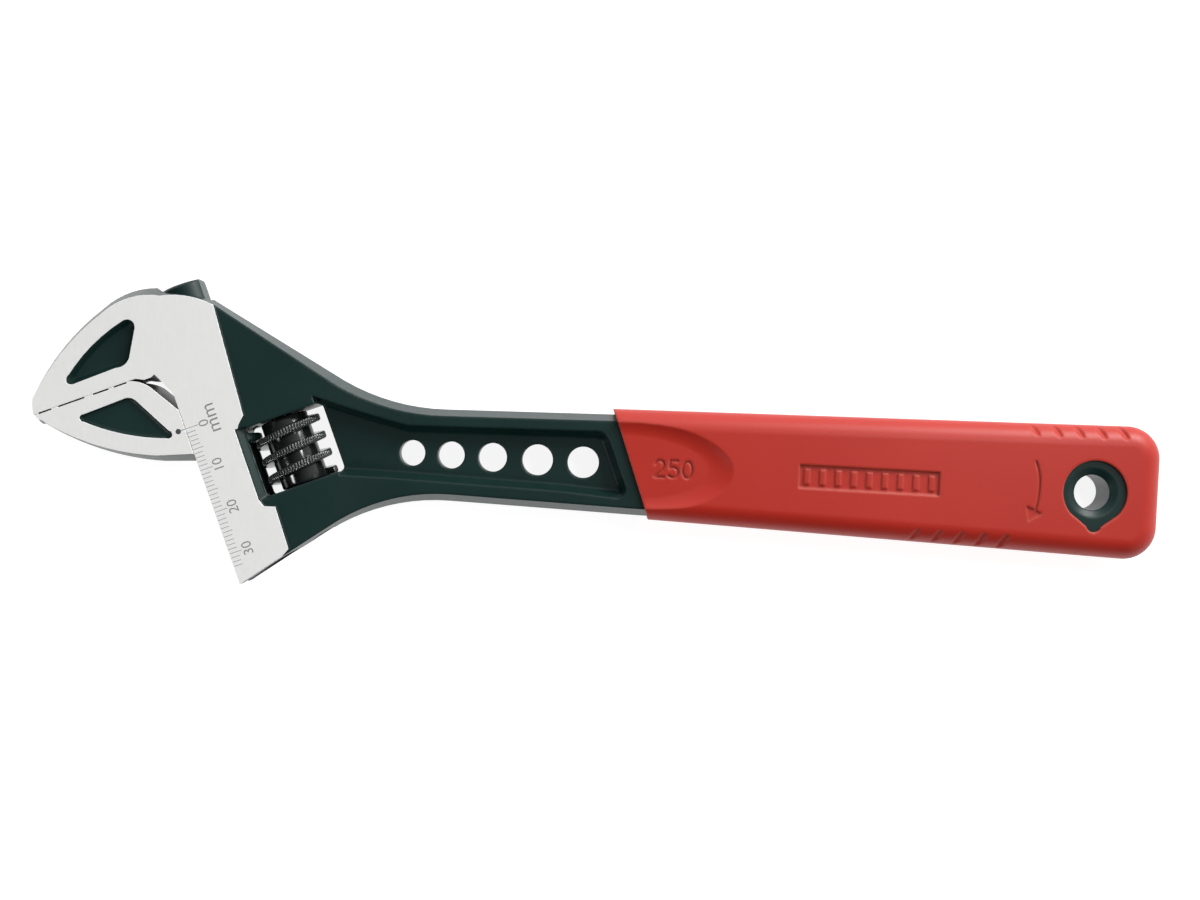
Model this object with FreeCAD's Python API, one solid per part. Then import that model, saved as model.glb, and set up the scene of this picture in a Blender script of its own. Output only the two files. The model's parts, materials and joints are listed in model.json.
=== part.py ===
import FreeCAD, Part
import math
import os

# Adjustable wrench, closed, lying flat. Origin: centre of the hang hole, on the mid-plane.
# +X runs along the handle to the jaws, +Y to the side the jaw opens to, +Z is square to the faces.
# Head features are placed in the jaw frame: u along the jaw's travel, v towards the jaw tips.

Vec = FreeCAD.Vector

# head
jaw_angle = 22.5            # jaw travel against the cross direction of the handle
scale_zero_x = 206.0        # zero mark of the scale, on the bearing edge
scale_zero_y = -2.9
head_thickness = 16.0       # over the two ground faces
paint_step = 0.7            # painted flats below the ground faces
draft_per_mm = 0.275        # forged sides lean in by this much per mm away from the parting line
jaw_plane_u = -14.5         # fixed gripping face
throat_chamfer_u = -8.7      # the throat corner is cut off from here
throat_chamfer_v = 2.6

# handle
shank_thickness = 12.0
shank_half_width = 10.4     # at the narrowest section
shank_min_x = 146.0
web_thickness = 4.8
eye_thickness = 14.0
eye_blend_start = 22.0
eye_blend_end = 46.0
tang_end_x = -13.4
tang_half_width = 12.5
tang_corner = 6.0
hang_hole_radius = 4.07
hang_dish_radius = 5.7
hang_dish_depth = 0.8

# lightening panel and its five holes
panel_wall_run = 1.2        # width of the sloped panel wall in plan
hole_positions = (155.0, 146.1, 136.6, 126.3, 115.8)
hole_diameters = (5.9, 6.2, 6.6, 7.1, 7.2)
hole_line_y = -0.35

# rod of the movable jaw and the channel that guides it
rod_radius = 5.7
rod_axis_v = -8.9
rod_top_u = -31.8
rod_bottom_u = 7.4
rack_end_u = -26.4          # beyond the last groove the rod is only flattened
rod_flat_depth = 1.4
rod_chamfer = 0.5
rod_clearance = 0.1
neck_thickness = 5.4
neck_clearance = 0.12
neck_top_u = -13.2
neck_end_gap = 0.5
grip_gap = 0.04             # between the gripping faces when closed
bearing_clearance = 0.12

# worm, its window, pin and spring
pitch = 4.2
worm_radius = 7.95
worm_root_radius = 5.55
worm_axis_v = -20.6
crest_width = 1.4
thread_base_width = 2.2
thread_start_turn = -0.70   # turns from the crest that faces the rack
thread_end_turn = 2.55
thread_phase_u = 8.9
window_top_u = 4.2
window_bottom_u = 20.5
window_near_v = -12.0
window_far_v = -30.4
window_corner = 1.2
window_lip = 1.6
worm_end_gap = 0.2
pin_radius = 2.0
pin_bore_clearance = 0.03
worm_bore_clearance = 0.06
pin_top_u = -2.0
pin_bottom_u = 32.0
pin_head_radius = 3.0
pin_head_length = 4.5
pin_slot_width = 0.9
pin_slot_depth = 1.3
spring_pocket_radius = 3.5
spring_pocket_depth = 4.8
spring_wire = 0.6
spring_mean_radius = 2.75
spring_turns = 4.5
mesh_clearance = 0.3        # between thread and rack, each way

# handle sleeve
sleeve_thickness = 16.0
sleeve_edge_round = 4.6
sleeve_end_x = -15.6
sleeve_end_half = 15.35
sleeve_end_round = 7.4
sleeve_front_half = 12.15
sleeve_front_x = 104.7      # where the slanted front crosses the handle line
sleeve_front_angle = 20.5
teardrop_radius = 7.3
teardrop_tip_y = 9.0
scoop_centre_x = 106.0
scoop_depth = 1.1
scoop_wall_run = 5.6
notch_count = 5
notch_step = 5.05
notch_radius = 0.85
plate_depth = 0.6
plate_near_x = 34.9
plate_length = 31.8
plate_height = 5.3
plate_bars = 9
plate_bar_width = 1.3
plate_bar_rise = 0.3
mark_depth = 0.3            # sunk arrow and size number
mark_width = 0.5
digit_width = 2.2
digit_height = 3.8
digit_step = 3.15
size_mark_x = 99.4

head_half = head_thickness / 2
flat_half = head_half - paint_step
shank_half = shank_thickness / 2
eye_half = eye_thickness / 2
sleeve_half = sleeve_thickness / 2
up = Vec(0, 0, 1)
far = 80.0                  # reach of cutters beyond the part

travel_dir = Vec(-math.sin(math.radians(jaw_angle)), math.cos(math.radians(jaw_angle)), 0)
tip_dir = Vec(math.cos(math.radians(jaw_angle)), math.sin(math.radians(jaw_angle)), 0)
scale_zero = Vec(scale_zero_x, scale_zero_y, 0)


def jaw(u, v, z=0.0):
    """Point of the jaw frame."""
    return scale_zero + travel_dir * u + tip_dir * v + up * z


def closed_wire(start, steps):
    """Closed wire: a point is a straight run, a pair (middle, end) is an arc."""
    edges = []
    here = start
    for step in steps:
        if isinstance(step, tuple):
            edges.append(Part.Arc(here, step[0], step[1]).toShape())
            here = step[1]
        else:
            edges.append(Part.LineSegment(here, step).toShape())
            here = step
    if here.distanceToPoint(start) > 1e-6:
        edges.append(Part.LineSegment(here, start).toShape())
    return Part.Wire(edges)


def prism(wire, low, high):
    face = Part.Face(wire.translated(Vec(0, 0, low)))
    return face.extrude(Vec(0, 0, high - low))


def jaw_points(pairs):
    return [jaw(u, v) for u, v in pairs]


def jaw_cylinder(radius, axis_v, from_u, to_u):
    return Part.makeCylinder(radius, to_u - from_u, jaw(from_u, axis_v), travel_dir)


def jaw_box(from_u, to_u, from_v, to_v, half_z):
    corners = jaw_points([(from_u, from_v), (to_u, from_v), (to_u, to_v), (from_u, to_v)])
    return prism(closed_wire(corners[0], corners[1:]), -half_z, half_z)


def both_sides(shape):
    return shape.fuse(shape.mirror(Vec(0, 0, 0), up))


def pocket(wire, floor_z, wall_run):
    """Pocket cutter with sloped walls, open above the face."""
    top_z = floor_z + wall_run * 2.4
    floor = wire.makeOffset2D(-wall_run)
    rim = wire.makeOffset2D(wall_run * 0.2)
    return Part.makeLoft([floor.translated(Vec(0, 0, floor_z)), rim.translated(Vec(0, 0, top_z))],
                         True, True)


def forging_wire(lean):
    """Outline of the forging where its sides lean in by this much."""
    def edge(x, y, angle, share=1.0):
        a = math.radians(angle)
        return Vec(x - lean * share * math.cos(a), y - lean * share * math.sin(a), 0)

    shank_top = shank_half_width + 0.35
    shank_low = shank_half_width - 0.2
    return closed_wire(edge(241.4, -3.0, 45, 0.6), [
        (edge(243.0, -5.4, 5), edge(243.1, -8.3, -14)),
        (edge(236.9, -19.8, -33), edge(228.0, -29.6, -46)),
        (edge(221.3, -33.9, -68), edge(213.5, -34.9, -90)),
        (edge(207.2, -34.4, -102, 0.65), edge(201.0, -32.0, -118, 0.35)),
        edge(174.5, -17.6, -118, 0.8),
        (edge(161.3, -12.2, -104), edge(shank_min_x + 2, -shank_top, -92)),
        edge(104.0, -11.9, -91),
        edge(tang_end_x + tang_corner, -tang_half_width, -90),
        (edge(tang_end_x + tang_corner * 0.293, -tang_half_width + tang_corner * 0.293, -135),
         edge(tang_end_x, -tang_half_width + tang_corner, 180)),
        edge(tang_end_x, tang_half_width - tang_corner, 180),
        (edge(tang_end_x + tang_corner * 0.293, tang_half_width - tang_corner * 0.293, 135),
         edge(tang_end_x + tang_corner, tang_half_width, 90)),
        edge(104.0, 11.1, 91),
        edge(shank_min_x, shank_low, 92),
        (edge(159.4, 11.9, 105, 0.8), edge(171.0, 17.0, 125, 0.35)),
        edge(191.5, 31.3, 125, 0.0),
        edge(196.5, 34.8, 125, 0.0),
        edge(212.0, 12.0, 45, 0.0),
    ])


def thickness_prism():
    """Side profile of the handle: full at the head, thinner at the shank, thicker round the eye."""
    def at(x, z):
        return Vec(x, 0, z)

    run = eye_blend_end - eye_blend_start
    eye_mid = (eye_half + shank_half) / 2
    neck_mid = (flat_half + shank_half) / 2
    rise = (eye_half - shank_half) * 0.1
    neck_rise = (flat_half - shank_half) * 0.1
    top = [at(-40, eye_half), at(eye_blend_start, eye_half)]
    edges = [Part.LineSegment(top[0], top[1]).toShape()]
    half = at(eye_blend_start + run / 2, eye_mid)
    edges.append(Part.Arc(top[1], at(eye_blend_start + run / 4, eye_half - rise), half).toShape())
    low = at(eye_blend_end, shank_half)
    edges.append(Part.Arc(half, at(eye_blend_end - run / 4, shank_half + rise), low).toShape())
    neck = at(157, shank_half)
    edges.append(Part.LineSegment(low, neck).toShape())
    neck_half = at(170, neck_mid)
    edges.append(Part.Arc(neck, at(163.5, shank_half + neck_rise), neck_half).toShape())
    head = at(183, flat_half)
    edges.append(Part.Arc(neck_half, at(176.5, flat_half - neck_rise), head).toShape())
    corner = at(260, flat_half)
    edges.append(Part.LineSegment(head, corner).toShape())
    edges.append(Part.LineSegment(corner, at(260, 0)).toShape())
    edges.append(Part.LineSegment(at(260, 0), at(-40, 0)).toShape())
    edges.append(Part.LineSegment(at(-40, 0), top[0]).toShape())
    upper = Part.Face(Part.Wire(edges)).translated(Vec(0, -60, 0)).extrude(Vec(0, 120, 0))
    return upper.fuse(upper.mirror(Vec(0, 0, 0), up)).removeSplitter()


def forging():
    """The forged blank with its leaning sides, before machining."""
    lean = draft_per_mm * head_half
    top = forging_wire(lean).translated(Vec(0, 0, head_half))
    half = Part.makeLoft([forging_wire(0.0), top], True, True)
    return half.fuse(half.mirror(Vec(0, 0, 0), up)).removeSplitter()


def ground_face_prism():
    """Region of the head that stands proud and is ground bright."""
    lip = window_near_v + window_lip
    edge = jaw_points([(-40, -16.3), (1.4, -13.3), (3.0, -11.6), (5.0, lip), (window_bottom_u, lip + 0.1),
                       (22.3, -10.9), (23.3, -13.3), (33.3, -13.0), (34.8, -10.4), (60, -4), (60, 60),
                       (-40, 60)])
    return prism(closed_wire(edge[0], edge[1:]), -head_half, head_half)


def mouth_cutter():
    """Space of the movable jaw: in front of the bearing edge and below the fixed gripping face."""
    corner_u = jaw_plane_u + 0.9
    steps = [jaw(jaw_plane_u, 7.0), jaw(corner_u, 5.2), jaw(corner_u, 3.6),
             jaw(corner_u - 0.4, throat_chamfer_v), jaw(throat_chamfer_u, 0), jaw(far, 0), jaw(far, far)]
    return prism(closed_wire(jaw(jaw_plane_u, far), steps), -far, far)


def window_cutter():
    window = jaw_box(window_top_u, window_bottom_u, window_far_v, window_near_v, far)
    upright = [e for e in window.Edges if abs(e.tangentAt(e.FirstParameter).z) > 0.9]
    window = window.makeFillet(window_corner, upright)
    chamfer_top = flat_half + 0.05
    wide = 0.4
    lip_v = window_near_v + window_lip
    inner_v = window_near_v - 1.0
    lip = jaw_points([(window_top_u - wide, lip_v), (window_bottom_u + wide, lip_v),
                      (window_bottom_u + wide, inner_v), (window_top_u - wide, inner_v)])
    low = jaw_points([(window_top_u, window_near_v), (window_bottom_u, window_near_v),
                      (window_bottom_u, inner_v), (window_top_u, inner_v)])
    lip_wire = closed_wire(lip[0], lip[1:])
    low_wire = closed_wire(low[0], low[1:])
    bevel = Part.makeLoft([low_wire.translated(Vec(0, 0, chamfer_top - 1.4)),
                           lip_wire.translated(Vec(0, 0, chamfer_top))], True, True)
    above = prism(lip_wire, chamfer_top, head_half + 1)
    return window.fuse([both_sides(bevel), both_sides(above)])


def panel_cutter():
    """Both panel recesses; they run out into the worm window."""
    wire = closed_wire(Vec(180.0, -12.4, 0), [
        (Vec(167.5, -8.9, 0), Vec(156, -6.3, 0)),
        Vec(114, -7.3, 0),
        (Vec(111.4, -6.9, 0), Vec(110.1, -5.2, 0)),
        Vec(106.1, 4.6, 0),
        (Vec(106.3, 6.4, 0), Vec(108.3, 7.0, 0)),
        Vec(120, 6.2, 0),
        Vec(160, 5.3, 0),
        Vec(176.0, 5.3, 0),
    ])
    lower = both_sides(pocket(wire, web_thickness / 2, panel_wall_run))
    rim_z = web_thickness / 2 + panel_wall_run * 2.4
    deep = both_sides(prism(wire.makeOffset2D(panel_wall_run * 0.2), rim_z, far))
    beyond_window = jaw_box(-40, 60, window_far_v + 1.0, 60, far)
    return lower.fuse(deep).cut(beyond_window)


def hang_hole_cutter():
    hole = Part.makeCylinder(hang_hole_radius, 2 * far, Vec(0, 0, -far))
    dish_floor = eye_half - hang_dish_depth
    dish = Part.makeCone(hang_hole_radius, hang_dish_radius, hang_dish_depth, Vec(0, 0, dish_floor))
    return hole.fuse(both_sides(dish))


def channel_cutter():
    bore = jaw_cylinder(rod_radius + rod_clearance, rod_axis_v, -far, far)
    half_slot = neck_thickness / 2 + neck_clearance
    slot = jaw_box(neck_top_u - neck_end_gap, far, rod_axis_v, 5.0, half_slot)
    return bore.fuse(slot)


def pin_bore_cutter():
    bore = jaw_cylinder(pin_radius + pin_bore_clearance, worm_axis_v, pin_top_u - 0.8, far)
    seat = jaw_cylinder(pin_head_radius + pin_bore_clearance, worm_axis_v,
                        pin_bottom_u - pin_head_length, far)
    return bore.fuse(seat)


def fixed_jaw_pocket():
    wire = closed_wire(Vec(221.6, -26.5, 0), [
        (Vec(219.6, -26.6, 0), Vec(218.9, -25.0, 0)),
        Vec(219.7, -18.8, 0),
        (Vec(220.5, -16.9, 0), Vec(222.6, -15.9, 0)),
        Vec(232.2, -11.6, 0),
        (Vec(233.6, -12.2, 0), Vec(233.2, -13.4, 0)),
        (Vec(228.3, -20.4, 0), Vec(221.6, -26.5, 0)),
    ])
    return both_sides(pocket(wire, head_half - 2.2, 1.0))


def make_body():
    blank = forging()
    core = blank.common(thickness_prism())
    pads = blank.common(ground_face_prism())
    body = core.fuse(pads)
    for cutter in (mouth_cutter(), channel_cutter(), window_cutter(), panel_cutter(), pin_bore_cutter(),
                   fixed_jaw_pocket(), hang_hole_cutter()):
        body = body.cut(cutter)
    for x, diameter in zip(hole_positions, hole_diameters):
        body = body.cut(Part.makeCylinder(diameter / 2, 2 * far, Vec(x, hole_line_y, -far)))
    return body.removeSplitter()


def hook_wire(tip_v, tip, belly, heel, end_u):
    """Outline of the hook at one level: grip face, tip, belly curve, heel at the bearing edge."""
    grip_u = jaw_plane_u + grip_gap
    back_v = bearing_clearance
    return closed_wire(jaw(grip_u, 8.7), [
        jaw(grip_u, tip_v),
        (tip[0], tip[1]),
        (belly, heel),
        jaw(end_u, back_v),
        jaw(-4.6, back_v),
        jaw(-11.7, 4.5),
        (jaw(-13.2, 6.0), jaw(grip_u, 8.7)),
    ])


def grip_reliefs():
    """Shallow reliefs across the movable gripping face, measured from its heel."""
    spans = ((9.2, 12.3), (13.5, 17.2), (19.3, 25.6), (27.2, 30.3))
    depth = 0.3
    grip_u = jaw_plane_u + grip_gap
    boxes = [jaw_box(grip_u - 1.0, grip_u + depth, low, high, far) for low, high in spans]
    return boxes[0].fuse(boxes[1:])


def rack_cutter():
    """Grooves that the thread runs in, leaning with its helix."""
    root_v = worm_axis_v + worm_radius + mesh_clearance
    outer_v = rod_axis_v - rod_radius - 1.0
    half_root = crest_width / 2 + mesh_clearance
    half_outer = thread_base_width / 2 + mesh_clearance
    helix = math.degrees(math.atan(pitch / (2 * math.pi * worm_radius * 0.9)))
    grooves = []
    count = int((rod_bottom_u - rod_top_u) / pitch) + 1
    for index in range(count):
        centre = thread_phase_u - index * pitch
        if centre - half_outer < rack_end_u:
            break
        wire = closed_wire(jaw(centre - half_root, root_v), jaw_points([
            (centre + half_root, root_v), (centre + half_outer, outer_v), (centre - half_outer, outer_v)]))
        groove = prism(wire, -far, far)
        groove.rotate(jaw(centre, root_v), tip_dir, helix)
        grooves.append(groove)
    flat_v = rod_axis_v - rod_radius + rod_flat_depth
    end_flat = jaw_box(rod_top_u - 1.0, rack_end_u, outer_v, flat_v, far)
    return grooves[0].fuse(grooves[1:] + [end_flat])


def movable_pocket():
    wire = closed_wire(Vec(229.2, -3.3, 0), [
        (Vec(230.1, -4.1, 0), Vec(229.3, -4.9, 0)),
        Vec(220.6, -8.8, 0),
        (Vec(219.0, -9.2, 0), Vec(217.4, -8.5, 0)),
        Vec(209.8, -2.3, 0),
        (Vec(209.0, -1.2, 0), Vec(210.2, -0.6, 0)),
        (Vec(219.8, -1.0, 0), Vec(229.2, -3.3, 0)),
    ])
    return both_sides(pocket(wire, head_half - 0.9, 0.4))


def make_movable_jaw():
    middle = hook_wire(31.4, (Vec(241.2, -3.55, 0), Vec(239.8, -2.35, 0)), Vec(226.3, 2.85, 0),
                       Vec(212.0, 4.7, 0), 7.6)
    face = hook_wire(30.6, (Vec(239.9, -3.9, 0), Vec(238.8, -3.15, 0)), Vec(226.2, 1.8, 0),
                     Vec(212.0, 3.45, 0), 5.9)
    half = Part.makeLoft([middle, face.translated(Vec(0, 0, head_half))], True, True)
    hook = half.fuse(half.mirror(Vec(0, 0, 0), up))
    rod = jaw_cylinder(rod_radius, rod_axis_v, rod_top_u, rod_bottom_u)
    rod = rod.makeChamfer(rod_chamfer, [e for e in rod.Edges if e.Length > 20 and len(e.Vertexes) == 1])
    neck = jaw_box(neck_top_u, 7.3, rod_axis_v, bearing_clearance + 0.3, neck_thickness / 2)
    hook = hook.cut(grip_reliefs()).cut(movable_pocket())
    whole = hook.fuse([neck, rod.cut(rack_cutter())])
    return whole.removeSplitter()


def worm_placement(u):
    """Placement whose Z is the travel direction and whose X faces the rack."""
    turn = FreeCAD.Rotation(tip_dir, up * -1, travel_dir, "ZXY")
    return FreeCAD.Placement(jaw(u, worm_axis_v), turn)


def make_worm():
    top = window_top_u + worm_end_gap
    bottom = window_bottom_u - worm_end_gap
    length = bottom - top
    start_u = thread_phase_u + thread_start_turn * pitch
    height = (thread_end_turn - thread_start_turn) * pitch
    sunk = worm_root_radius - 0.4
    helix = Part.makeHelix(pitch, height, worm_root_radius)
    base = thread_base_width / 2
    crest = crest_width / 2
    profile = closed_wire(Vec(sunk, 0, -base), [Vec(worm_radius, 0, -crest), Vec(worm_radius, 0, crest),
                                                Vec(sunk, 0, base)])
    thread = Part.Wire(helix.Edges).makePipeShell([profile], True, True)
    thread.rotate(Vec(0, 0, 0), up, thread_start_turn * 360)
    thread.translate(Vec(0, 0, start_u - top))
    core = Part.makeCylinder(worm_root_radius, length)
    worm = core.fuse(thread).common(Part.makeCylinder(worm_radius + 1, length))
    worm = worm.cut(Part.makeCylinder(pin_radius + worm_bore_clearance, length))
    worm = worm.cut(Part.makeCylinder(spring_pocket_radius, spring_pocket_depth))
    worm.Placement = worm_placement(top)
    return worm


def make_pin():
    shaft = jaw_cylinder(pin_radius, worm_axis_v, pin_top_u, pin_bottom_u - pin_head_length)
    head = jaw_cylinder(pin_head_radius, worm_axis_v, pin_bottom_u - pin_head_length, pin_bottom_u)
    slot = jaw_box(pin_bottom_u - pin_slot_depth, pin_bottom_u + 1, worm_axis_v - far, worm_axis_v + far,
                   pin_slot_width / 2)
    return shaft.fuse(head).cut(slot).removeSplitter()


def make_spring():
    room = worm_end_gap + spring_pocket_depth - spring_wire - 0.1
    rise = room / spring_turns
    helix = Part.makeHelix(rise, room, spring_mean_radius)
    ring = Part.Wire(Part.makeCircle(spring_wire / 2, Vec(spring_mean_radius, 0, 0), Vec(0, 1, 0)))
    coil = Part.Wire(helix.Edges).makePipeShell([ring], True, True)
    coil.Placement = worm_placement(window_top_u + spring_wire / 2 + 0.02)
    return coil


def sleeve_blank():
    """Outer shape of the sleeve before its slanted front is cut: tapered, with rounded end and rims."""
    blank = prism(closed_wire(Vec(118, -sleeve_front_half - 0.65, 0), [
        Vec(sleeve_end_x, -sleeve_end_half - 0.35, 0),
        Vec(sleeve_end_x, sleeve_end_half - 0.35, 0),
        Vec(118, sleeve_front_half - 0.75, 0)]), -sleeve_half, sleeve_half)
    corners = [e for e in blank.Edges
               if abs(e.CenterOfMass.x - sleeve_end_x) < 1e-6 and abs(e.CenterOfMass.z) < 1e-6]
    blank = blank.makeFillet(sleeve_end_round, corners)
    rims = [e for e in blank.Edges
            if abs(abs(e.CenterOfMass.z) - sleeve_half) < 1e-6 and e.CenterOfMass.x < 117]
    return blank.makeFillet(sleeve_edge_round, rims)


def teardrop_prism():
    """Window of the sleeve round the hang hole, a circle with a point on the opening side."""
    r = teardrop_radius
    centre = Vec(-0.4, 0, 0)
    swing = math.acos(r / (teardrop_tip_y + 2.0))
    left = centre + Vec(r * math.sin(swing), r * math.cos(swing), 0)
    right = centre + Vec(-r * math.sin(swing), r * math.cos(swing), 0)
    tip = 1.7
    tip_side_y = teardrop_tip_y - tip * 0.75
    wire = closed_wire(left, [(centre + Vec(0, -r, 0), right), centre + Vec(-tip, tip_side_y, 0),
                              (centre + Vec(0, teardrop_tip_y, 0), centre + Vec(tip, tip_side_y, 0))])
    return both_sides(prism(wire, 1.0, far))


def grip_notches():
    """Five slanted thumb notches on each edge, near the hang hole."""
    cutters = []
    for first_x, y, slant in ((14.6, -14.6, 24), (40.6, 13.0, -24)):
        for index in range(notch_count):
            bead = Part.makeCylinder(notch_radius, 7.5, Vec(0, 0, -3.75), up)
            bead.rotate(Vec(0, 0, 0), Vec(1, 0, 0), 90)
            bead.rotate(Vec(0, 0, 0), up, slant)
            x = first_x - notch_step * index
            side = 1 if y > 0 else -1
            shift = 0.3 * index * 0.2 * side
            for face in (1, -1):
                copy = bead.copy()
                copy.rotate(Vec(0, 0, 0), Vec(1, 0, 0), -40 * side * face)
                copy.translate(Vec(x, y + shift + 0.5 * side, face * 6.1))
                cutters.append(copy)
    return cutters


def plate_ribs():
    """Short raised bars that fill both plates."""
    pitch_x = plate_length / plate_bars
    margin = 0.9
    floor = sleeve_half - plate_depth
    bars = []
    for index in range(plate_bars):
        x = plate_near_x + (index + 0.5) * pitch_x - plate_bar_width / 2
        bar = Part.makeBox(plate_bar_width, plate_height - 2 * margin, plate_bar_rise + 0.3,
                           Vec(x, -plate_height / 2 + margin, floor - 0.3))
        bars.append(both_sides(bar))
    return bars


def strokes(lines, floor_z):
    """Sunk marks: each line is a run of points followed by a flat-bottomed groove with round ends."""
    half = mark_width / 2
    cutters = []
    for line in lines:
        for x, y in line:
            cutters.append(Part.makeCylinder(half, far, Vec(x, y, floor_z)))
        for (ax, ay), (bx, by) in zip(line, line[1:]):
            run = Vec(bx - ax, by - ay, 0)
            groove = Part.makeBox(run.Length, mark_width, far, Vec(0, -half, 0))
            groove.rotate(Vec(0, 0, 0), up, math.degrees(math.atan2(run.y, run.x)))
            groove.translate(Vec(ax, ay, floor_z))
            cutters.append(groove)
    return cutters[0].fuse(cutters[1:])


def turn_arrow():
    """Curved arrow with a solid head, beside the hang hole."""
    floor_z = sleeve_half - mark_depth
    shaft = [(13.3, -6.3), (12.6, -4.3), (12.3, -2.1), (12.3, 0.2), (12.5, 2.4), (12.9, 4.5)]
    head = [Vec(15.0, 3.8, 0), Vec(11.4, 5.3, 0), Vec(14.4, 7.4, 0)]
    return strokes([shaft], floor_z).fuse(prism(closed_wire(head[0], head[1:]), floor_z, far))


def size_mark():
    """The number 250 in the scoop, read with the opening side down."""
    two = [(0.02, 0.74), (0.22, 0.95), (0.52, 1.0), (0.86, 0.9), (0.96, 0.7), (0.8, 0.45), (0, 0), (1, 0)]
    five = [(0.92, 1), (0.16, 1), (0.08, 0.55), (0.5, 0.63), (0.88, 0.5), (1, 0.28), (0.8, 0.06),
            (0.4, -0.01), (0, 0.1)]
    zero = [(0.5 + 0.5 * math.cos(a), 0.5 + 0.5 * math.sin(a)) for a in (math.pi * k / 6 for k in range(13))]
    lines = []
    for index, digit in enumerate((two, five, zero)):
        start_x = size_mark_x - index * digit_step
        lines.append([(start_x - x * digit_width, (0.5 - y) * digit_height) for x, y in digit])
    return strokes(lines, sleeve_half - scoop_depth - mark_depth)


def make_sleeve(steel):
    lean = math.tan(math.radians(sleeve_front_angle))
    front = prism(closed_wire(Vec(sleeve_front_x + 20 * lean, -20, 0), [
        Vec(sleeve_front_x - 20 * lean, 20, 0), Vec(140, 20, 0), Vec(140, -20, 0)]), -far, far)
    sleeve = sleeve_blank().cut(front).cut(steel).cut(teardrop_prism())
    levels = []
    for share, level in ((1.0, scoop_depth), (0.5, scoop_depth * 0.7), (0.0, -0.02)):
        run = scoop_wall_run * share
        ring = Part.Ellipse(Vec(scoop_centre_x, 0, 0), 24.4 - run, 10.6 - run * 0.6)
        levels.append(Part.Wire(ring.toShape()).translated(Vec(0, 0, sleeve_half - level)))
    scoop = Part.makeLoft(levels, True, False)
    sleeve = sleeve.cut(both_sides(scoop))
    plate = Part.makeBox(plate_length, plate_height, far,
                         Vec(plate_near_x, -plate_height / 2, sleeve_half - plate_depth))
    sleeve = sleeve.cut(both_sides(plate)).fuse(plate_ribs())
    sleeve = sleeve.cut(turn_arrow()).cut(size_mark())
    for notch in grip_notches():
        sleeve = sleeve.cut(notch)
    return sleeve.removeSplitter()


def main():
    os.makedirs("parts", exist_ok=True)
    body = make_body()
    pieces = {
        "wrench_body": body,
        "movable_jaw": make_movable_jaw(),
        "worm_screw": make_worm(),
        "worm_pin": make_pin(),
        "worm_spring": make_spring(),
        "handle_sleeve": make_sleeve(forging().common(thickness_prism())),
    }
    for name, shape in pieces.items():
        shape.exportStep(f"parts/{name}.step")
        box = shape.BoundBox
        print(name, "solids", len(shape.Solids), "valid", shape.isValid(), "volume", round(shape.Volume, 1),
              "x", round(box.XMin, 2), round(box.XMax, 2), "y", round(box.YMin, 2), round(box.YMax, 2),
              "z", round(box.ZMin, 2), round(box.ZMax, 2))


main()
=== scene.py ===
import bpy, bmesh, json, math
from mathutils import Matrix, Vector


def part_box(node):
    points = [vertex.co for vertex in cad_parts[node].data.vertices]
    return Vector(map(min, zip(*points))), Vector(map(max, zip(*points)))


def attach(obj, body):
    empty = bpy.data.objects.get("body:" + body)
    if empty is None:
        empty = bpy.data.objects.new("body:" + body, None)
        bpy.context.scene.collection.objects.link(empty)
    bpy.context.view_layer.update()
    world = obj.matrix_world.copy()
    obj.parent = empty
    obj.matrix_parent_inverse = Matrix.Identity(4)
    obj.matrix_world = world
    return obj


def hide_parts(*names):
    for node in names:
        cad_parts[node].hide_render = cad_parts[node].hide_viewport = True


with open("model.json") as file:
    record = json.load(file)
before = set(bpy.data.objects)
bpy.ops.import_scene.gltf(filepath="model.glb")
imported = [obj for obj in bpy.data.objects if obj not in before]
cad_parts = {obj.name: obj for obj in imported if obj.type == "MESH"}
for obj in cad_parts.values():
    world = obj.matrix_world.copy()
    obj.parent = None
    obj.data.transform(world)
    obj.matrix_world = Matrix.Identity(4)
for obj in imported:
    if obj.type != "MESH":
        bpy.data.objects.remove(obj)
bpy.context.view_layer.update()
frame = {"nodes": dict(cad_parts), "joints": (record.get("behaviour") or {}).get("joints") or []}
print("frame loaded:", sorted(frame["nodes"]))

mm = 0.001
nodes = frame["nodes"]

# the jaw frame: u along the jaw's travel, v towards the jaw tips, from the scale's zero on the bearing edge
joints = {j["name"]: j for j in frame["joints"]}
travelDir = Vector(joints["jaw_slide"]["axis"]).normalized()
tipDir = Vector((travelDir.y, -travelDir.x, 0.0))
up = Vector((0.0, 0.0, 1.0))
wormCentre = Vector(joints["worm_spin"]["pos_m"])
wormOffset = {"u": 12.35, "v": -20.6}          # worm centre in the jaw frame, mm
scaleZero = wormCentre - travelDir * wormOffset["u"] * mm - tipDir * wormOffset["v"] * mm
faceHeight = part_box("wrench_body")[1].z        # ground faces


def jawPoint(u, v, z=0.0):
    return scaleZero + travelDir * u * mm + tipDir * v * mm + up * z


def jawMatrix(u, v, z=0.0):
    # local x runs against the travel, local y towards the tips, local z up
    turn = Matrix((-travelDir, tipDir, up)).transposed().to_4x4()
    return Matrix.Translation(jawPoint(u, v, z)) @ turn


camera = {"place": (0.1121, -0.0034, 0.450), "right": (-0.99844, -0.05582, 0.0),
          "up": (0.05582, -0.99844, 0.0), "lens": 58.6}
light = {"aim": (0.12, 0.0, 0.0), "skyHorizon": 0.85, "skyDrop": 0.62, "skyTowardsKey": 0.75,
         "key": 4.4, "keyPlace": (-0.24, -0.50, 0.32), "keySize": 0.30,
         "fill": 1.1, "fillPlace": (0.55, 0.30, 0.40), "fillSize": 0.12,
         "strip": 0.22, "stripPlace": (-0.05, -0.10, 0.35), "stripSize": 0.04,
         "floorGrey": 0.35, "floorGlow": 0.88, "floorDrop": 0.0002}


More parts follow.
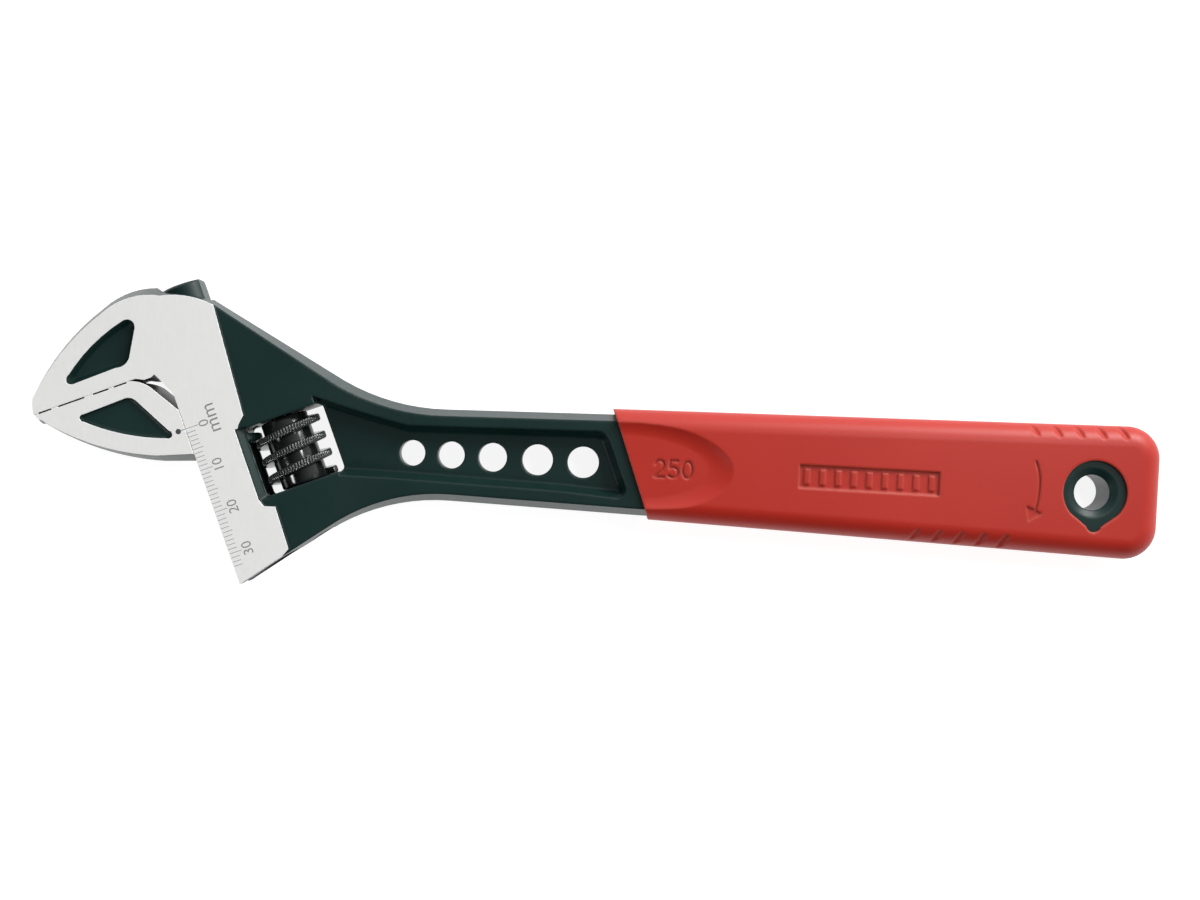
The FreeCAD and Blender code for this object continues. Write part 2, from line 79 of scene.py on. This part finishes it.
def addCamera():
    data = bpy.data.cameras.new("camera")
    data.lens = camera["lens"]
    data.sensor_width = 36.0
    data.clip_start = 0.01
    obj = bpy.data.objects.new("camera", data)
    right, top = Vector(camera["right"]), Vector(camera["up"])
    turn = Matrix((right, top, right.cross(top))).transposed().to_4x4()
    obj.matrix_world = Matrix.Translation(camera["place"]) @ turn
    bpy.context.scene.collection.objects.link(obj)
    bpy.context.scene.camera = obj


def addArea(name, power, place, size, colour=(1, 1, 1)):
    data = bpy.data.lights.new(name, "AREA")
    data.energy, data.size, data.color = power, size, colour
    obj = bpy.data.objects.new(name, data)
    aim = Vector(light["aim"]) - Vector(place)
    obj.matrix_world = Matrix.Translation(place) @ aim.to_track_quat("-Z", "Y").to_matrix().to_4x4()
    bpy.context.scene.collection.objects.link(obj)


def addStudio():
    # soft sky, dim overhead and brighter on the side of the key, so that edges facing it catch a line of light
    world = bpy.data.worlds.new("studio")
    world.use_nodes = True
    tree = world.node_tree
    background = tree.nodes["Background"]
    background.inputs["Color"].default_value = (1, 1, 1, 1)
    keySide = Vector((light["keyPlace"][0] - light["aim"][0], light["keyPlace"][1], 0.0)).normalized()
    place = tree.nodes.new("ShaderNodeTexCoord")
    gradient = tree.nodes.new("ShaderNodeVectorMath")
    gradient.operation = "DOT_PRODUCT"
    gradient.inputs[1].default_value = keySide * light["skyTowardsKey"] - up * light["skyDrop"]
    strength = tree.nodes.new("ShaderNodeMath")
    strength.inputs[1].default_value = light["skyHorizon"]
    tree.links.new(place.outputs["Generated"], gradient.inputs[0])
    tree.links.new(gradient.outputs["Value"], strength.inputs[0])
    tree.links.new(strength.outputs[0], background.inputs["Strength"])
    bpy.context.scene.world = world
    bpy.context.scene.view_settings.view_transform = "Standard"
    addArea("key", light["key"], light["keyPlace"], light["keySize"])
    addArea("fill", light["fill"], light["fillPlace"], light["fillSize"])
    addArea("strip", light["strip"], light["stripPlace"], light["stripSize"])
    bm = bmesh.new()
    bmesh.ops.create_grid(bm, x_segments=1, y_segments=1, size=3.0)
    bmesh.ops.translate(bm, verts=bm.verts, vec=(0, 0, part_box("wrench_body")[0].z - light["floorDrop"]))
    floor = meshObject("floor", bm)
    floor.data.materials.append(floorMaterial())
    print("camera, lights and floor set")


def meshObject(name, bm):
    mesh = bpy.data.meshes.new(name)
    bm.to_mesh(mesh)
    bm.free()
    obj = bpy.data.objects.new(name, mesh)
    bpy.context.scene.collection.objects.link(obj)
    return obj


class Nodes:
    # short way to add and join shader nodes
    def __init__(self, name):
        self.material = bpy.data.materials.new(name)
        self.material.use_nodes = True
        self.tree = self.material.node_tree
        self.shader = self.tree.nodes["Principled BSDF"]

    def add(self, kind, **settings):
        node = self.tree.nodes.new(kind)
        for key, value in settings.items():
            setattr(node, key, value)
        return node

    def join(self, source, target):
        self.tree.links.new(source, target)

    def objectPlace(self):
        return self.add("ShaderNodeTexCoord").outputs["Object"]

    def noise(self, scale, detail=4.0, stretch=None, turn=0.0):
        place = self.objectPlace()
        if stretch:
            mapping = self.add("ShaderNodeMapping")
            mapping.inputs["Scale"].default_value = stretch
            mapping.inputs["Rotation"].default_value = (0, 0, turn)
            self.join(place, mapping.inputs["Vector"])
            place = mapping.outputs["Vector"]
        node = self.add("ShaderNodeTexNoise")
        node.inputs["Scale"].default_value = scale
        node.inputs["Detail"].default_value = detail
        self.join(place, node.inputs["Vector"])
        return node.outputs["Fac"]

    def math(self, operation, a, b=None, clamp=False):
        node = self.add("ShaderNodeMath", operation=operation, use_clamp=clamp)
        for socket, value in zip(node.inputs, (a, b)):
            if value is None:
                continue
            if isinstance(value, (int, float)):
                socket.default_value = value
            else:
                self.join(value, socket)
        return node.outputs[0]

    def mix(self, mask, a, b):
        node = self.add("ShaderNodeMix", data_type="RGBA")
        self.join(mask, node.inputs["Factor"])
        for key, value in (("A", a), ("B", b)):
            socket = [s for s in node.inputs if s.name == key and s.type == "RGBA"][0]
            if isinstance(value, tuple):
                socket.default_value = (*value, 1.0)
            else:
                self.join(value, socket)
        return [s for s in node.outputs if s.type == "RGBA"][0]

    def along(self, direction, start):
        # distance along a direction from a point
        node = self.add("ShaderNodeVectorMath", operation="DOT_PRODUCT")
        self.join(self.objectPlace(), node.inputs[0])
        node.inputs[1].default_value = direction
        return self.math("SUBTRACT", node.outputs["Value"], Vector(direction).dot(start))

    def bump(self, height, strength, distance, below=None):
        node = self.add("ShaderNodeBump")
        node.inputs["Strength"].default_value = strength
        node.inputs["Distance"].default_value = distance
        self.join(height, node.inputs["Height"])
        if below is not None:
            self.join(below, node.inputs["Normal"])
        return node.outputs["Normal"]

    def softEdges(self, radius):
        # rounds the look of sharp edges; returns the normal and a mask of the edges themselves
        bevel = self.add("ShaderNodeBevel", samples=6)
        if isinstance(radius, float):
            bevel.inputs["Radius"].default_value = radius
        else:
            self.join(radius, bevel.inputs["Radius"])
        flat = self.add("ShaderNodeNewGeometry")
        dot = self.add("ShaderNodeVectorMath", operation="DOT_PRODUCT")
        self.join(bevel.outputs["Normal"], dot.inputs[0])
        self.join(flat.outputs["Normal"], dot.inputs[1])
        edge = self.math("SUBTRACT", 1.0, dot.outputs["Value"], clamp=True)
        return bevel.outputs["Normal"], edge


def floorMaterial():
    n = Nodes("pale_floor")
    grey = light["floorGrey"]
    n.shader.inputs["Base Color"].default_value = (grey, grey, grey, 1)
    n.shader.inputs["Specular IOR Level"].default_value = 0.1
    n.shader.inputs["Emission Color"].default_value = (1, 1, 1, 1)   # a lit table, so that shadows stay faint
    n.shader.inputs["Emission Strength"].default_value = light["floorGlow"]
    n.shader.inputs["Roughness"].default_value = 0.9
    return n.material


steelFinish = {"paint": (0.0030, 0.0150, 0.0130), "paintLight": (0.0080, 0.0280, 0.0250),
               "wornAndHighlit": (0.16, 0.18, 0.18), "ground": (0.97, 0.97, 0.96), "groundDark": (0.88, 0.88, 0.87),
               "paintRough": 0.36, "groundRough": 0.48, "bare": 0.48, "paintEdge": 0.0008, "groundEdge": 0.0002,
               "wearAndHighlight": 0.22, "planeTolerance": 0.00006}


def forgedSteel(name, machinedPlanes):
    # satin enamel on the forging, bare ground steel on the outer faces and the machined planes
    n = Nodes(name)
    split = n.add("ShaderNodeSeparateXYZ")
    n.join(n.objectPlace(), split.inputs[0])
    height = n.math("ABSOLUTE", split.outputs["Z"])
    mask = n.math("GREATER_THAN", height, faceHeight - steelFinish["planeTolerance"])
    for direction, start, low, high in machinedPlanes:
        near = n.math("LESS_THAN", n.math("ABSOLUTE", n.along(direction, start)), steelFinish["planeTolerance"])
        across = tipDir if abs(Vector(direction).dot(travelDir)) > 0.5 else travelDir
        place = n.along(across, scaleZero)
        inside = n.math("MULTIPLY", n.math("GREATER_THAN", place, low * mm), n.math("LESS_THAN", place, high * mm))
        mask = n.math("MAXIMUM", mask, n.math("MULTIPLY", near, inside))
    edgeDrop = n.math("MULTIPLY", mask, steelFinish["paintEdge"] - steelFinish["groundEdge"])
    softNormal, edge = n.softEdges(n.math("SUBTRACT", steelFinish["paintEdge"], edgeDrop))
    grain = n.noise(1100.0, 5.0)
    cloud = n.noise(60.0, 3.0)
    brush = n.noise(420.0, 3.0, stretch=(7.0, 0.5, 1.0), turn=0.39)
    # edges of the paint turn paler: partly worn paint, partly a painted highlight along the edges
    wearAndHighlight = n.math("MULTIPLY", n.math("MULTIPLY", edge, n.noise(260.0, 4.0)), steelFinish["wearAndHighlight"], clamp=True)
    paint = n.mix(wearAndHighlight, n.mix(cloud, steelFinish["paint"], steelFinish["paintLight"]), steelFinish["wornAndHighlit"])
    bare = n.mix(n.math("MULTIPLY", brush, 0.6), steelFinish["ground"], steelFinish["groundDark"])
    n.join(n.mix(mask, paint, bare), n.shader.inputs["Base Color"])
    n.join(n.math("MULTIPLY", mask, steelFinish["bare"]), n.shader.inputs["Metallic"])
    rough = n.math("ADD", n.math("MULTIPLY", mask, steelFinish["groundRough"] - steelFinish["paintRough"]),
                   n.math("ADD", n.math("MULTIPLY", grain, 0.12), steelFinish["paintRough"] - 0.06))
    n.join(rough, n.shader.inputs["Roughness"])
    n.shader.inputs["Specular IOR Level"].default_value = 0.28
    texture = n.math("ADD", n.math("MULTIPLY", grain, 1.0), n.math("MULTIPLY", brush, 0.3))
    n.join(n.bump(texture, 0.22, 0.00005, softNormal), n.shader.inputs["Normal"])
    return n.material


oxideFinish = {"dark": (0.006, 0.007, 0.007), "light": (0.016, 0.019, 0.019), "rough": 0.07, "edge": 0.0002,
               "polishedAndHighlit": (0.085, 0.090, 0.090), "ribTopRadius": 0.00786}


def blackOxide(name):
    n = Nodes(name)
    grain = n.noise(1500.0, 4.0)
    softNormal, edge = n.softEdges(oxideFinish["edge"])
    # edges turn pale grey: partly worn oxide, partly a painted highlight along the crest edges
    wornAndHighlit = n.math("MULTIPLY", n.math("MULTIPLY", edge, n.noise(500.0, 3.0)), 0.5, clamp=True)
    tone = n.mix(n.noise(240.0, 3.0), oxideFinish["dark"], oxideFinish["light"])
    # rib tops of the knurl are lighter, partly polish from thumbs and partly a painted highlight that leaves the
    # grooves as painted shade: they lie furthest from the worm's axis
    fromAxis = n.add("ShaderNodeVectorMath", operation="SUBTRACT")
    n.join(n.objectPlace(), fromAxis.inputs[0])
    fromAxis.inputs[1].default_value = wormCentre
    across = n.add("ShaderNodeVectorMath", operation="CROSS_PRODUCT")
    n.join(fromAxis.outputs["Vector"], across.inputs[0])
    across.inputs[1].default_value = travelDir
    radius = n.add("ShaderNodeVectorMath", operation="LENGTH")
    n.join(across.outputs["Vector"], radius.inputs[0])
    top = n.math("GREATER_THAN", radius.outputs["Value"], oxideFinish["ribTopRadius"])
    polishAndHighlight = n.mix(top, tone, oxideFinish["polishedAndHighlit"])
    n.join(n.mix(wornAndHighlit, polishAndHighlight, (0.22, 0.23, 0.23)), n.shader.inputs["Base Color"])
    n.shader.inputs["Metallic"].default_value = 0.25
    n.shader.inputs["Specular IOR Level"].default_value = 0.6
    n.join(n.math("ADD", n.math("MULTIPLY", grain, 0.16), oxideFinish["rough"]), n.shader.inputs["Roughness"])
    n.join(n.bump(grain, 0.2, 0.00003, softNormal), n.shader.inputs["Normal"])
    return n.material


sleeveFinish = {"red": (0.36, 0.0110, 0.0038), "redLight": (0.42, 0.0175, 0.0072), "rubbedAndHighlit": (0.56, 0.15, 0.09),
                "rough": 0.37, "edge": 0.0008}


def redSleeve(name):
    # moulded grip: fine spark grain; the edges are paler, partly rubbed by hands and partly a painted highlight
    # along the edges
    n = Nodes(name)
    grain = n.noise(2100.0, 3.0)
    softNormal, edge = n.softEdges(sleeveFinish["edge"])
    # paler edges: partly rubbing, partly a painted highlight
    rubbedAndHighlit = n.math("MULTIPLY", edge, 1.3, clamp=True)
    tone = n.mix(n.noise(38.0, 3.0), sleeveFinish["red"], sleeveFinish["redLight"])
    n.join(n.mix(rubbedAndHighlit, tone, sleeveFinish["rubbedAndHighlit"]), n.shader.inputs["Base Color"])
    n.join(n.math("ADD", n.math("MULTIPLY", grain, 0.14), sleeveFinish["rough"]), n.shader.inputs["Roughness"])
    n.shader.inputs["Specular IOR Level"].default_value = 0.45
    n.join(n.bump(grain, 0.3, 0.00004, softNormal), n.shader.inputs["Normal"])
    return n.material


def springSteel(name):
    n = Nodes(name)
    n.join(n.mix(n.noise(900.0), (0.50, 0.50, 0.49), (0.62, 0.62, 0.61)), n.shader.inputs["Base Color"])
    n.shader.inputs["Metallic"].default_value = 1.0
    n.shader.inputs["Roughness"].default_value = 0.3
    return n.material


def markInk(name, dark, light):
    # etched mark filled with oxide
    n = Nodes(name)
    n.join(n.mix(n.noise(1600.0, 3.0), dark, light), n.shader.inputs["Base Color"])
    n.shader.inputs["Roughness"].default_value = 0.7
    n.shader.inputs["Specular IOR Level"].default_value = 0.2
    return n.material


def paintNode(name, material):
    mesh = nodes[name].data
    mesh.materials.clear()
    mesh.materials.append(material)


worm = {"pitch": 4.2, "rootRadius": 5.5, "crestRadius": 7.93, "crestHalf": 0.70, "baseHalf": 1.15,
        "boreRadius": 2.1,
        "topU": 4.4, "bottomU": 20.3, "facingU": 8.9, "startTurn": -0.70, "endTurn": 2.55,
        "stepsPerTurn": 280, "ribRows": 4, "knurlDepth": 0.20, "collar": 0.5, "sunk": 0.5,
        "crestEase": 0.22, "flankEase": 0.12, "crestBand": 0.05, "coreSteps": 96, "sharpAngle": 32}


def wormMatrix():
    # local z along the travel, local x towards the rack, from the scale's zero level on the worm's axis
    turn = Matrix((tipDir, -up, travelDir)).transposed().to_4x4()
    return Matrix.Translation(jawPoint(0.0, wormOffset["v"])) @ turn


def threadMesh():
    # one thread section carried round the axis while it climbs
    bm = bmesh.new()
    sunk, crest = worm["rootRadius"] - worm["sunk"], worm["crestRadius"]
    base, flat = worm["baseHalf"], worm["crestHalf"]
    ease, flank = worm["crestEase"], worm["flankEase"]
    section = [(sunk, -base), (crest - ease, -flat - flank), (crest, -flat + ease), (crest, 0.0),
               (crest, flat - ease), (crest - ease, flat + flank), (sunk, base)]
    ring = [bm.verts.new((r, 0.0, z)) for r, z in section]
    edges = [bm.edges.new((a, b)) for a, b in zip(ring, ring[1:] + ring[:1])]
    turns = worm["endTurn"] - worm["startTurn"]
    steps = round(turns * worm["stepsPerTurn"])
    bmesh.ops.spin(bm, geom=ring + edges, cent=(0, 0, 0), axis=(0, 0, 1), angle=turns * math.tau,
                   dvec=(0, 0, turns * worm["pitch"] / steps), steps=steps)
    bmesh.ops.holes_fill(bm, edges=[e for e in bm.edges if e.is_boundary])
    # half the rows of the crest drop back, which leaves fine ribs across it
    for v in bm.verts:
        radius = math.hypot(v.co.x, v.co.y)
        if radius > crest - worm["crestBand"]:
            row = round(math.atan2(v.co.y, v.co.x) / math.tau * worm["stepsPerTurn"])
            if row % worm["ribRows"] >= worm["ribRows"] // 2:
                bmesh.ops.scale(bm, verts=[v], vec=((radius - worm["knurlDepth"]) / radius,) * 2 + (1,))
    bmesh.ops.rotate(bm, verts=bm.verts, cent=(0, 0, 0),
                     matrix=Matrix.Rotation(worm["startTurn"] * math.tau, 3, "Z"))
    startU = worm["facingU"] + worm["startTurn"] * worm["pitch"]
    bmesh.ops.translate(bm, verts=bm.verts, vec=(0, 0, startU))
    for level, side in ((worm["topU"], -1), (worm["bottomU"], 1)):
        cut = bmesh.ops.bisect_plane(bm, geom=bm.verts[:] + bm.edges[:] + bm.faces[:], plane_co=(0, 0, level),
                                     plane_no=(0, 0, side), clear_outer=True)
        rim = [e for e in cut["geom_cut"] if isinstance(e, bmesh.types.BMEdge)]
        bmesh.ops.holes_fill(bm, edges=rim)
    return bm


def coreMesh(bm):
    # hollow core with rounded end collars, turned from its section
    inner, outer, ease = worm["boreRadius"], worm["rootRadius"], worm["collar"]
    low, high = worm["topU"], worm["bottomU"]
    section = [(inner, low), (outer - ease, low), (outer - ease * 0.3, low + ease * 0.3), (outer, low + ease),
               (outer, high - ease), (outer - ease * 0.3, high - ease * 0.3), (outer - ease, high), (inner, high)]
    ring = [bm.verts.new((r, 0.0, z)) for r, z in section]
    edges = [bm.edges.new((a, b)) for a, b in zip(ring, ring[1:] + ring[:1])]
    bmesh.ops.spin(bm, geom=ring + edges, cent=(0, 0, 0), axis=(0, 0, 1), angle=math.tau,
                   steps=worm["coreSteps"], use_merge=True)


def buildWorm(material):
    bm = threadMesh()
    coreMesh(bm)
    bmesh.ops.remove_doubles(bm, verts=bm.verts, dist=0.0005)
    bmesh.ops.recalc_face_normals(bm, faces=bm.faces)
    bmesh.ops.scale(bm, verts=bm.verts, vec=(mm, mm, mm))
    bmesh.ops.transform(bm, matrix=wormMatrix(), verts=bm.verts)
    obj = meshObject("knurled_worm", bm)
    obj.data.materials.append(material)
    obj.data.shade_smooth()
    obj.data.set_sharp_from_angle(angle=math.radians(worm["sharpAngle"]))
    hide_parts("worm_screw")   # radii within 0.05 mm, with rounded crests and their knurl
    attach(obj, "worm")
    print("knurled worm built")


scaleMarks = {"lastU": 33, "lineWidth": 0.12, "short": 2.1, "middle": 2.5, "long": 3.0, "digitHeight": 2.3,
              "digitV": -4.4, "unitV": -6.35, "unitU": -0.5, "unitHeight": 3.2, "proud": 0.012, "thick": 0.03,
              "dotV": 1.75, "dotRadius": 0.62, "dotSegments": 32, "strokeStart": -0.1,
              "pointerNear": 0.15, "pointerFar": 1.1, "fontRatio": 1.4, "fontThinning": -0.015}


def addStroke(bm, u, fromV, toV, width, z):
    # thin raised bar across the scale
    made = bmesh.ops.create_cube(bm, size=1.0)
    place = jawMatrix(u, (fromV + toV) / 2, z)
    size = Matrix.Diagonal((width * mm, abs(toV - fromV) * mm, scaleMarks["thick"] * mm, 1.0))
    bmesh.ops.transform(bm, matrix=place @ size, verts=made["verts"])


def addText(bm, text, u, v, height, z):
    # text laid on the face, tops towards the jaw tips, made a mesh before it is placed
    curve = bpy.data.curves.new("figure", "FONT")
    curve.body = text
    curve.size = height * scaleMarks["fontRatio"]
    curve.align_x, curve.align_y = "CENTER", "CENTER"
    curve.extrude = scaleMarks["thick"] / 2
    curve.offset = scaleMarks["fontThinning"]
    holder = bpy.data.objects.new("figure", curve)
    mesh = bpy.data.meshes.new_from_object(holder)
    figure = bmesh.new()
    figure.from_mesh(mesh)
    bmesh.ops.scale(figure, verts=figure.verts, vec=(mm, mm, mm))
    bmesh.ops.transform(figure, matrix=jawMatrix(u, v, z), verts=figure.verts)
    figure.to_mesh(mesh)
    figure.free()
    bm.from_mesh(mesh)
    bpy.data.objects.remove(holder)
    bpy.data.curves.remove(curve)
    bpy.data.meshes.remove(mesh)


def buildScale(material):
    bm = bmesh.new()
    z = faceHeight + (scaleMarks["proud"] - scaleMarks["thick"] / 2) * mm
    for u in range(scaleMarks["lastU"] + 1):
        length = scaleMarks["long"] if u % 10 == 0 else scaleMarks["middle"] if u % 5 == 0 else scaleMarks["short"]
        addStroke(bm, u, scaleMarks["strokeStart"], -length, scaleMarks["lineWidth"], z)
    for u in range(0, scaleMarks["lastU"], 10):
        addText(bm, str(u), u, scaleMarks["digitV"], scaleMarks["digitHeight"], z)
    addText(bm, "mm", scaleMarks["unitU"], scaleMarks["unitV"], scaleMarks["unitHeight"], z)
    obj = meshObject("millimetre_scale", bm)
    obj.data.materials.append(material)
    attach(obj, "wrench")
    print("millimetre scale built")


def buildIndexDot(material):
    # round index mark and its short line on the movable jaw
    bm = bmesh.new()
    z = faceHeight + (scaleMarks["proud"] - scaleMarks["thick"] / 2) * mm
    radius = scaleMarks["dotRadius"] * mm
    made = bmesh.ops.create_cone(bm, cap_ends=True, segments=scaleMarks["dotSegments"], radius1=radius,
                                 radius2=radius, depth=scaleMarks["thick"] * mm)
    bmesh.ops.transform(bm, matrix=jawMatrix(0.0, scaleMarks["dotV"], z), verts=made["verts"])
    addStroke(bm, 0.0, scaleMarks["pointerNear"], scaleMarks["pointerFar"], scaleMarks["lineWidth"], z)
    obj = meshObject("index_dot", bm)
    obj.data.materials.append(material)
    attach(obj, "jaw")
    print("index mark built")


addCamera()
addStudio()
# machined planes of each jaw: where the plane lies and how far it reaches, mm
machined = {"gripU": -14.5, "gripGap": 0.04, "bearingGap": 0.12,
            "bodyGrip": (7.0, 33.0), "bodyBearing": (-8.0, 38.0),
            "jawGrip": (8.0, 33.0), "jawBearing": (-5.0, 9.0)}
bodySteel = forgedSteel("body_steel", [(travelDir, jawPoint(machined["gripU"], 0), *machined["bodyGrip"]),
                                       (tipDir, jawPoint(0, 0), *machined["bodyBearing"])])
jawGripU = machined["gripU"] + machined["gripGap"]
jawSteel = forgedSteel("jaw_steel", [(travelDir, jawPoint(jawGripU, 0), *machined["jawGrip"]),
                                     (tipDir, jawPoint(0, machined["bearingGap"]), *machined["jawBearing"])])
paintNode("wrench_body", bodySteel)
paintNode("movable_jaw", jawSteel)
oxide = blackOxide("worm_oxide")
paintNode("worm_screw", oxide)
paintNode("worm_pin", oxide)
paintNode("worm_spring", springSteel("spring_wire"))
paintNode("handle_sleeve", redSleeve("sleeve_red"))
print("CAD nodes painted")
buildWorm(oxide)
buildScale(markInk("scale_grey", (0.15, 0.155, 0.155), (0.28, 0.285, 0.285)))
buildIndexDot(markInk("dot_slate", (0.035, 0.045, 0.05), (0.07, 0.085, 0.09)))
